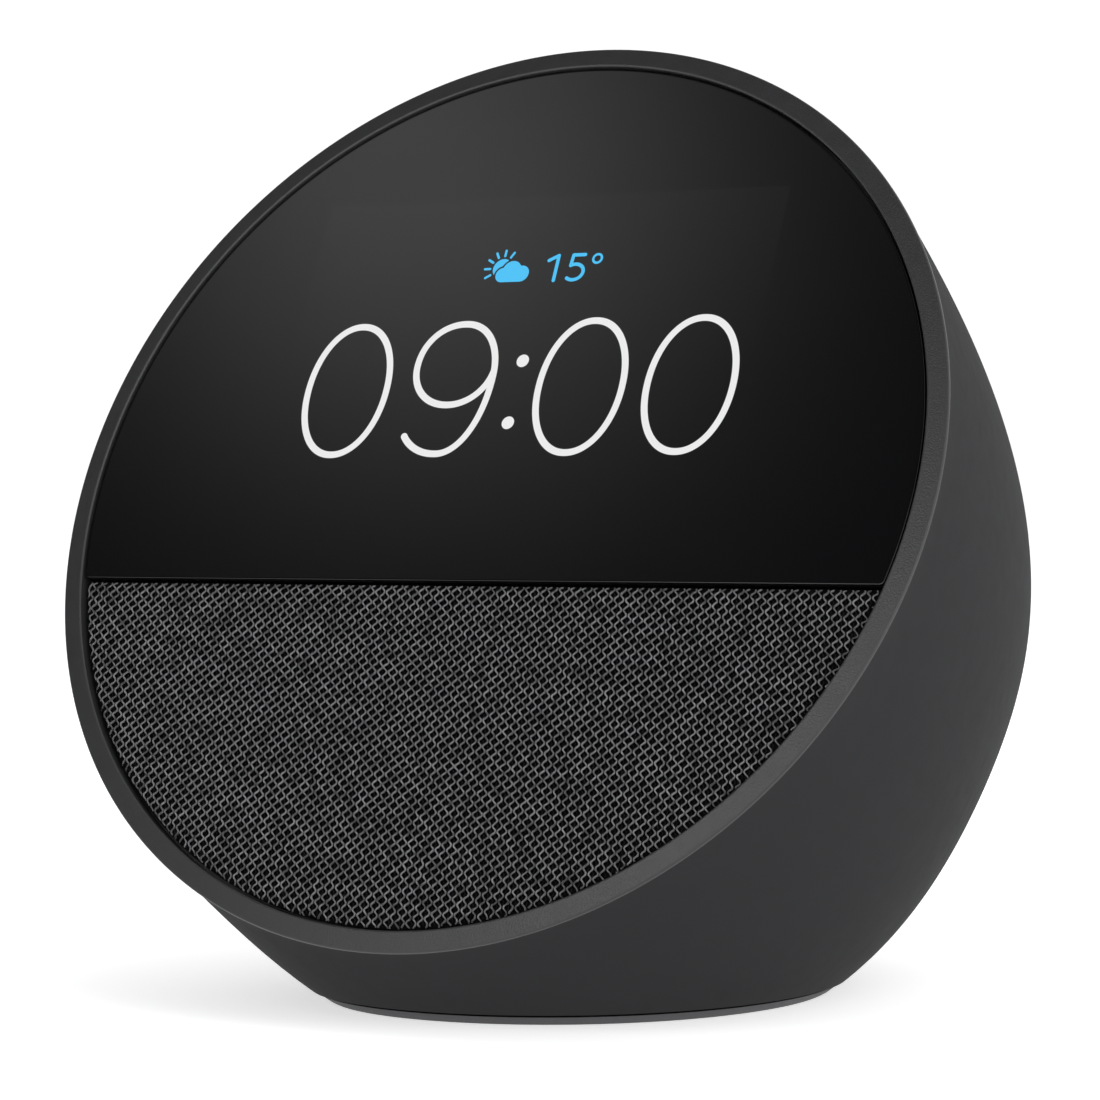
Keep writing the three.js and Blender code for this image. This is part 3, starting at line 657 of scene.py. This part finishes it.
weather = dict(sun=(-4.6 * mm, 27.4 * mm), sunRadius=1.25 * mm, rayIn=1.65 * mm, rayOut=2.35 * mm,
               rayWidth=0.3 * mm, rayAngles=range(60, 211, 30),
               cloudBase=25.6 * mm, cloudGap=0.24 * mm, cloudMiddle=(-3.1 * mm, 26.4 * mm),
               lobes=((-4.35 * mm, 26.55 * mm, 0.95 * mm), (-3.25 * mm, 27.1 * mm, 1.25 * mm),
                      (-1.9 * mm, 26.65 * mm, 1.05 * mm)),  # middle and radius of each
               colour=(0.06, 0.52, 0.9))
number = dict(stroke=0.44 * mm, low=25.6 * mm, high=28.85 * mm, one=2.7 * mm, oneFlag=(1.5 * mm, 28.25 * mm),
              fiveLeft=4.66 * mm, fiveRight=6.2 * mm, fiveBowl=(5.2 * mm, 26.62 * mm, 1.2 * mm, 1.02 * mm),
              degree=(7.93 * mm, 28.28 * mm), degreeRadius=0.56 * mm, degreeStroke=0.3 * mm)


# outline of the three cloud lobes grown by a gap, as a closed loop above the base line
def cloudLoop(grow):
    lobes = [(x, v, r + grow) for x, v, r in weather["lobes"]]
    base = weather["cloudBase"] - grow
    middle = weather["cloudMiddle"]
    points = []
    for dx, dv in circle(1, 72):
        reach = 0
        for x, v, r in lobes:
            ox, ov = middle[0] - x, middle[1] - v
            b, c = ox * dx + ov * dv, ox * ox + ov * ov - r * r
            if b * b - c > 0:
                reach = max(reach, -b + math.sqrt(b * b - c))
        if dv < 0:
            toBase = (base - middle[1]) / dv
            flat = lobes[0][0] < middle[0] + dx * toBase < lobes[-1][0]
            reach = toBase if flat else min(reach, toBase)
        points.append((middle[0] + dx * reach, middle[1] + dv * reach))
    return points


def inLoop(p, loop):
    inside = False
    for i, a in enumerate(loop):
        b = loop[i - 1]
        if (a[1] > p[1]) != (b[1] > p[1]) and p[0] < (b[0] - a[0]) * (p[1] - a[1]) / (b[1] - a[1]) + a[0]:
            inside = not inside
    return inside


def sunBehindCloud():
    sx, sv = weather["sun"]
    radius = weather["sunRadius"]
    grown = cloudLoop(weather["cloudGap"])
    rim = [p for p in oval(sx, sv, radius, radius, 0, 360, 90)[:-1] if not inLoop(p, grown)]
    start = max(range(len(rim)), key=lambda i: math.dist(rim[i], rim[i - 1]))
    rim = rim[start:] + rim[:start]
    bite = sorted((p for p in grown if math.dist(p, (sx, sv)) < radius), key=lambda p: math.dist(p, rim[-1]))
    parts = [outlineParts(loop, figureDepth, clock["thick"]) for loop in (cloudLoop(0), rim + bite)]
    for a in weather["rayAngles"]:
        c, s = math.cos(math.radians(a)), math.sin(math.radians(a))
        ends = [(sx + c * r, sv + s * r) for r in (weather["rayIn"], weather["rayOut"])]
        parts.append(strokeParts(ends, weather["rayWidth"], False))
    return parts


def temperature():
    low, high, one = number["low"], number["high"], number["one"]
    left, right = number["fiveLeft"], number["fiveRight"]
    bowl = oval(*number["fiveBowl"], 122, -132, 24)
    strokes = ([(one, low), (one, high)], [(one, high), number["oneFlag"]],
               [(right, high), (left, high)], [(left, high), bowl[0]], bowl)
    parts = [strokeParts(points, number["stroke"], False) for points in strokes]
    degree = oval(*number["degree"], number["degreeRadius"], number["degreeRadius"], 0, 360, 28)[:-1]
    parts.append(strokeParts(degree, number["degreeStroke"], True))
    return parts


def weatherLine():
    obj = makeMesh("weather_line", *joined(sunBehindCloud() + temperature()), frontMatrix, 30)
    finish(obj, emissiveMaterial("weather_light", weather["colour"]))


clockFigures()
weatherLine()
print("clock and weather line made")

# knitted grille: a near-black cloth, whose colour is painted shade for the dark behind the holes, with a net
# of threads over it, and a thinner, deeper net between the two, coloured darker than the top net as painted
# shade
knit = dict(radius=53.62 * mm, split=-12.72 * mm, corner=0.3 * mm, pitch=1.45 * mm, period=1.222 * mm,
            thread=0.1 * mm, swing=0.22 * mm, square=0.05, weave=0.03 * mm, samples=8, seed=7,
            wobble=0.05 * mm, swingDrift=0.03 * mm, depthDrift=0.012 * mm, fatDrift=0.14,
            frontDepth=0.66 * mm, tuck=0.55 * mm, tuckWidth=0.7 * mm,
            clothDepth=1.0 * mm, clothThick=0.1 * mm,
            underShift=0.12 * mm, underRise=0.12 * mm, underThin=0.6, underSamples=4)
yarns = {  # dark and light colour, roughness, specular level and sheen
    # the backing's near-black colour is painted shade: it stands for the dark behind the knit's holes
    "painted_shade_backing": ((0.0015, 0.0015, 0.0017), (0.004, 0.004, 0.0045), 0.95, 0.05, 0),
    "net_thread": ((0.032, 0.032, 0.034), (0.22, 0.22, 0.228), 0.7, 0.4, 0.25),
    # the deeper net's yarn is coloured far darker than the top net's, as painted shade for its depth
    "shaded_under_thread": ((0.004, 0.004, 0.0045), (0.016, 0.016, 0.017), 0.8, 0.1, 0),
}


def threadMaterial(name):
    dark, light, roughness, specular, sheen = yarns[name]
    mat, nodes, links, shader = newMaterial(name)
    vector = objectCoords(nodes, links)
    patch = remap(nodes, links, noise(nodes, links, vector, 900, 2, 0.7), 0.0, 1.0, 0.35, 0.72)
    fine = noise(nodes, links, vector, 5000, 2)
    shade = multiply(nodes, links, patch, remap(nodes, links, fine, 0.6, 1.4))
    links.new(mixColour(nodes, links, shade, dark, light), shader.inputs["Base Color"])
    shader.inputs["Roughness"].default_value = roughness
    shader.inputs["Specular IOR Level"].default_value = specular
    shader.inputs["Sheen Weight"].default_value = sheen
    shader.inputs["Sheen Roughness"].default_value = 0.5
    bump(nodes, links, shader, fine, 0.03 * mm)
    return mat


def wander(rng, count, size):  # slow random drift along a thread
    return np.convolve(rng.normal(0, 1, count + 4), np.ones(5) / 5, "valid") * size


def threadPath(rng, x0, v, side, depth):
    phase = 2 * np.pi * v / knit["period"]
    wobble = wander(rng, len(v), knit["wobble"])
    swing = knit["swing"] + wander(rng, len(v), knit["swingDrift"])
    x = x0 + side * swing * (np.sin(phase) + knit["square"] * np.sin(3 * phase)) + wobble
    w = depth + knit["weave"] * side * np.sin(phase) + rng.normal(0, knit["depthDrift"], len(v))
    toEdge = np.minimum(knit["radius"] - np.hypot(x, v), knit["split"] - v)
    w = w + knit["tuck"] * np.clip(1 - toEdge / knit["tuckWidth"], 0, 1) ** 2  # tucked in along the edge
    return np.stack([x, w, v], 1)


def threadRings(points, fat, sides):
    along = np.gradient(points, axis=0)
    along /= np.linalg.norm(along, axis=1)[:, None]
    outward = np.cross(along, np.array([0.0, 1.0, 0.0]))
    outward /= np.linalg.norm(outward, axis=1)[:, None]
    third = np.cross(along, outward)
    turns = [2 * math.pi * (k + 0.5) / sides for k in range(sides)]
    rings = [points + fat[:, None] * (math.cos(a) * outward + math.sin(a) * third) for a in turns]
    return np.stack(rings, 1).reshape(-1, 3)


# zigzag threads that come close to a neighbour at every half period, cut to the grille's outline
def netThreads(name, shift, thickness, depth, samples, seed):
    rng = np.random.default_rng(seed)
    spacing = knit["pitch"] / 2
    count = int(knit["radius"] / spacing)
    step = knit["period"] / samples
    sides = 4
    parts = []
    for i in range(-count, count + 1):
        x0 = i * spacing + shift
        reach = math.sqrt(max(knit["radius"] ** 2 - x0 ** 2, 0)) - thickness
        if reach < -knit["split"] + 2 * step:
            continue
        v = np.arange(knit["split"] - thickness, -reach, -step)
        points = threadPath(rng, x0, v, 1 if i % 2 else -1, depth)
        fat = thickness * (1 + knit["fatDrift"] * rng.normal(0, 1, len(v)).clip(-1.5, 1.5))
        parts.append((threadRings(points, fat, sides), tubeFaces(len(v), sides)))
    return makeMesh(name, *joined(parts), frontMatrix)


def grille():
    flat = segmentOutline(knit["radius"], knit["split"], -1, knit["corner"])
    depths = (knit["clothDepth"] + knit["clothThick"], knit["clothDepth"])
    # near-black sheet behind the net; its colour is painted shade for the dark inside the holes
    cloth = stackedOutlines("grille_painted_shade_cloth", [[(x, w, v) for x, v in flat] for w in depths], frontMatrix)
    finish(cloth, threadMaterial("painted_shade_backing"))
    net = netThreads("grille_net", 0.0, knit["thread"], knit["frontDepth"], knit["samples"], knit["seed"])
    finish(net, threadMaterial("net_thread"))
    # the deeper net, its yarn coloured darker as painted shade
    under = netThreads("grille_shaded_under_net", knit["pitch"] / 2 + knit["underShift"],
                       knit["thread"] * knit["underThin"], knit["clothDepth"] - knit["underRise"],
                       knit["underSamples"], knit["seed"] + 1)
    finish(under, threadMaterial("shaded_under_thread"))
    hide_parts("grille_fabric")


grille()
print("knitted grille made")

foot = dict(inset=0.35 * mm, round=0.2 * mm, bevel=0.05 * mm, boreX=23 * mm, boreY=27 * mm, boreBack=22 * mm,
            sides=240)
footMiddle = discCentre.y + foot["boreBack"]


def bodyOutlineAt(z, inset):  # level outline of the body, seen from the foot's middle
    points = []
    for x, y in circle(1, foot["sides"]):
        direction = Vector((x, y, 0))
        hit, normal, _, _ = outerTree.ray_cast(Vector((0, footMiddle, z)), direction)
        flat = Vector((normal.x, normal.y, 0)).normalized()
        flat = flat if flat.dot(direction) > 0 else -flat
        points.append(hit - flat * inset)
    return points


def footRing():
    _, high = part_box("foot_ring")
    r, bevel, inset = foot["round"], foot["bevel"], foot["inset"]
    verts = []
    outside = ((high.z, inset + bevel), (high.z - bevel, inset), (r, inset),
               (r * 0.4, inset + r * 0.3), (0, inset + r))  # height and inset
    for z, rowInset in outside:
        verts.extend((p.x, p.y, z) for p in bodyOutlineAt(max(z, bevel), rowInset))
    inside = ((0, r), (r, 0), (high.z, 0))
    for z, grow in inside:
        verts.extend((x * (foot["boreX"] + grow), footMiddle + y * (foot["boreY"] + grow), z)
                     for x, y in circle(1, foot["sides"]))
    faces = gridFaces(len(outside) + len(inside), foot["sides"], closeRows=True)
    obj = makeMesh("foot_moulding", verts, faces, None, 40)
    finish(obj, materials["foot_rubber"])
    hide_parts("foot_ring")


footRing()
print("foot made")


# round plug whose face follows the body's surface, set back by drop and rounded at its rim:
# with a hole it is the inlet's collar, and with a flange (radius, top, bottom) it is a key
def surfacePlug(name, seat, axis, radius, drop, rim, depth=0.0, hole=0.0, holeDepth=0.0, flange=None):
    third = axis.cross(toRight)
    sides = 96

    def row(r, fall):
        points = []
        for p, q in circle(r, sides):
            hit = onSkin(seat + toRight * p + third * q, axis, 20 * mm)
            points.append(hit - axis * (drop + fall))
        return points

    def flatRow(r, h):
        return [seat + axis * h + toRight * p + third * q for p, q in circle(r, sides)]

    if hole:
        leadIn = inlet["leadIn"]
        rows = [flatRow(hole * 0.02, -holeDepth), flatRow(hole, -holeDepth)]
        rows += [row(hole, leadIn), row(hole + leadIn, 0)]
    else:
        rows = [row(radius * share, 0) for share in (0.01, 0.25, 0.5, 0.75)]
    for i in range(5):
        a = math.radians(i * 22.5)
        rows.append(row(radius - rim + rim * math.sin(a), rim * (1 - math.cos(a))))
    if flange:
        wide, top, bottom = flange
        rows += [flatRow(radius, top), flatRow(wide, top)]
        rows += [flatRow(wide, bottom), flatRow(wide * 0.02, bottom)]
    else:
        rows += [flatRow(radius, -depth), flatRow(radius * 0.02, -depth)]
    return stackedOutlines(name, rows, None, 38)


marks = dict(stroke=0.3 * mm, half=1.5 * mm, lift=0.015 * mm, thick=0.05 * mm,
             capsule=0.6 * mm, capsuleTop=1.0 * mm, capsuleBottom=-0.1 * mm, cradle=(1.25 * mm, 1.35 * mm),
             stemEnd=-2.15 * mm, slash=(1.8 * mm, 1.9 * mm))
markMaterial = mouldedMaterial("mark_print", (0.32, 0.32, 0.33), 0.6, depth=0.004)


def straight(start, end, steps):  # evenly spaced points, so that a line can follow a curved face
    return [(start[0] + (end[0] - start[0]) * i / steps, start[1] + (end[1] - start[1]) * i / steps)
            for i in range(steps + 1)]


def keySigns():  # strokes in (x, back) pairs, each open or closed
    h, r = marks["half"], marks["capsule"]
    cradleWidth, cradleDrop = marks["cradle"]
    slashX, slashBack = marks["slash"]
    bar = (straight((-h, 0), (h, 0), 6), False)
    upright = (straight((0, -h), (0, h), 6), False)
    capsule = (oval(0, marks["capsuleTop"], r, r, 0, 180, 12)
               + oval(0, marks["capsuleBottom"], r, r, 180, 360, 12), True)
    cradle = (oval(0, 0, cradleWidth, cradleDrop, 185, 355, 18), False)
    stem = (straight((0, -cradleDrop), (0, marks["stemEnd"]), 2), False)
    slash = (straight((-slashX, slashBack), (slashX, -slashBack), 8), False)
    return {"volume_down": [bar], "volume_up": [bar, upright], "mic_mute": [capsule, cradle, stem, slash]}


def keyMark(name, x, strokes, body):  # lays the strokes on a key's face
    parts = [strokeParts(points, marks["stroke"], closed, 0, marks["thick"]) for points, closed in strokes]
    verts, faces = joined(parts)
    placed = []
    for px, pw, pv in verts:
        spot = keySeat + Vector((x + px, 0, 0)) + keyBack * pv
        placed.append(onSkin(spot, keyOut, 5 * mm) + keyOut * (marks["lift"] - pw))
    obj = makeMesh(name, placed, faces, None, 30)
    finish(obj, markMaterial, body)


def buttons():
    signs = keySigns()
    flange = (keys["radius"] + keys["flange"], keys["flangeTop"], keys["flangeBottom"])
    for name, x in keySpots.items():
        cap = surfacePlug(name + "_cap", keySeat + toRight * x, keyOut, keys["radius"], keys["sunk"],
                          keys["rim"], flange=flange)
        finish(cap, materials["shell_plastic"], name + "_key")
        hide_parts(name + "_button")
        keyMark(name + "_mark", x, signs[name], name + "_key")


def powerInlet():
    collar = surfacePlug("inlet_moulding", inletSeat, toBack, inlet["collar"], inlet["drop"], inlet["rim"],
                         depth=inletSeat.y - jackLow.y, hole=inlet["socket"], holeDepth=inlet["socketDepth"])
    finish(collar, materials["inner_plastic"])
    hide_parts("power_jack")
    rows = [[(x, inletSeat.y + y, inletHeight + z) for x, z in circle(r, 32)] for r, y in inlet["pin"]]
    pin = stackedOutlines("inlet_pin", rows, None, 30)
    finish(pin, materials["steel"])


buttons()
powerInlet()
print("buttons and inlet made")

studio = dict(
    white=1.05, shade=0.0,
    shadeAzimuth=-50, shadeElevation=42, shadeInner=30, shadeOuter=55,  # angles in degrees
    glowLevel=1.08, glowAzimuth=-48.1, glowElevation=44.7, glowWidth=0.0511,
    floorColour=(0.86, 0.86, 0.86), floorGlow=0.55, floorRows=(0.0001, 0.4, 2, 12))
lights = [  # name, azimuth and elevation seen from the front (degrees), distance and size across (m), watts
    ("key", -20, 27, 1.0, 0.4, 1.5),
    ("fill", -6, 36, 1.0, 0.4, 0.75),
    ("low_fill", -34, 10, 1.0, 0.4, 0.42),
    ("side", 71, 17, 1.0, 0.7, 2.2),
]
cameraPlace = dict(position=(0.23406, discCentre.y - 0.38725, 0.05587), azimuth=30.193, elevation=0.458,
                   lens=130.75)


def floorPlane():
    sides = 64
    verts = [(x, y, 0) for r in studio["floorRows"] for x, y in circle(r, sides)]
    obj = makeMesh("floor", verts, gridFaces(len(studio["floorRows"]), sides) + [tuple(range(sides))])
    if obj.data.polygons[0].normal.z < 0:
        obj.data.flip_normals()
    mat, _, _, shader = newMaterial("floor_paint")
    shader.inputs["Base Color"].default_value = (*studio["floorColour"], 1)
    shader.inputs["Roughness"].default_value = 0.9
    shader.inputs["Specular IOR Level"].default_value = 0.0
    shader.inputs["Emission Color"].default_value = (1, 1, 1, 1)
    shader.inputs["Emission Strength"].default_value = studio["floorGlow"]
    obj.data.materials.append(mat)


def towards(azimuth, elevation):  # azimuth 0 straight in front, positive to the right
    a, e = math.radians(azimuth), math.radians(elevation)
    return Vector((math.sin(a) * math.cos(e), -math.cos(a) * math.cos(e), math.sin(e)))


def world():  # white all round, with one shaded patch high in front and a soft glow inside it
    sky = bpy.data.worlds.new("studio")
    bpy.context.scene.world = sky
    sky.use_nodes = True
    nodes, links = sky.node_tree.nodes, sky.node_tree.links
    background = nodes["Background"]
    background.inputs["Color"].default_value = (1, 1, 1, 1)
    coord = nodes.new("ShaderNodeTexCoord")

    def facing(direction):
        dot = nodes.new("ShaderNodeVectorMath")
        dot.operation = "DOT_PRODUCT"
        dot.inputs[1].default_value = direction
        links.new(coord.outputs["Generated"], dot.inputs[0])
        return dot.outputs["Value"]

    level = nodes.new("ShaderNodeMapRange")
    level.interpolation_type = "SMOOTHSTEP"
    level.inputs["From Min"].default_value = math.cos(math.radians(studio["shadeOuter"]))
    level.inputs["From Max"].default_value = math.cos(math.radians(studio["shadeInner"]))
    level.inputs["To Min"].default_value = studio["white"]
    level.inputs["To Max"].default_value = studio["shade"]
    links.new(facing(towards(studio["shadeAzimuth"], studio["shadeElevation"])), level.inputs["Value"])
    away = nodes.new("ShaderNodeMath")
    away.operation = "MULTIPLY_ADD"
    away.inputs[1].default_value = 1 / studio["glowWidth"] ** 2
    away.inputs[2].default_value = -1 / studio["glowWidth"] ** 2
    links.new(facing(towards(studio["glowAzimuth"], studio["glowElevation"])), away.inputs[0])
    glow = nodes.new("ShaderNodeMath")
    glow.operation = "EXPONENT"
    links.new(away.outputs[0], glow.inputs[0])
    total = nodes.new("ShaderNodeMath")
    total.operation = "MULTIPLY_ADD"
    total.inputs[1].default_value = studio["glowLevel"]
    links.new(glow.outputs[0], total.inputs[0])
    links.new(level.outputs["Result"], total.inputs[2])
    links.new(total.outputs[0], background.inputs["Strength"])


def softLight(name, azimuth, elevation, distance, size, watts):
    data = bpy.data.lights.new(name, "AREA")
    data.shape = "DISK"
    data.size = size
    data.energy = watts
    obj = bpy.data.objects.new(name, data)
    away = towards(azimuth, elevation)
    obj.location = discCentre + away * distance
    obj.rotation_euler = (-away).to_track_quat("-Z", "Y").to_euler()
    bpy.context.scene.collection.objects.link(obj)


def camera():
    data = bpy.data.cameras.new("camera")
    data.lens = cameraPlace["lens"]
    data.sensor_width = 36
    data.clip_start = 0.01
    obj = bpy.data.objects.new("camera", data)
    obj.location = cameraPlace["position"]
    upward, turn = math.radians(90 - cameraPlace["elevation"]), math.radians(cameraPlace["azimuth"])
    obj.rotation_euler = (upward, 0, turn)
    bpy.context.scene.collection.objects.link(obj)
    bpy.context.scene.camera = obj


floorPlane()
world()
for light in lights:
    softLight(*light)
camera()
bpy.context.scene.view_settings.view_transform = "Standard"
print("floor, light and camera set")
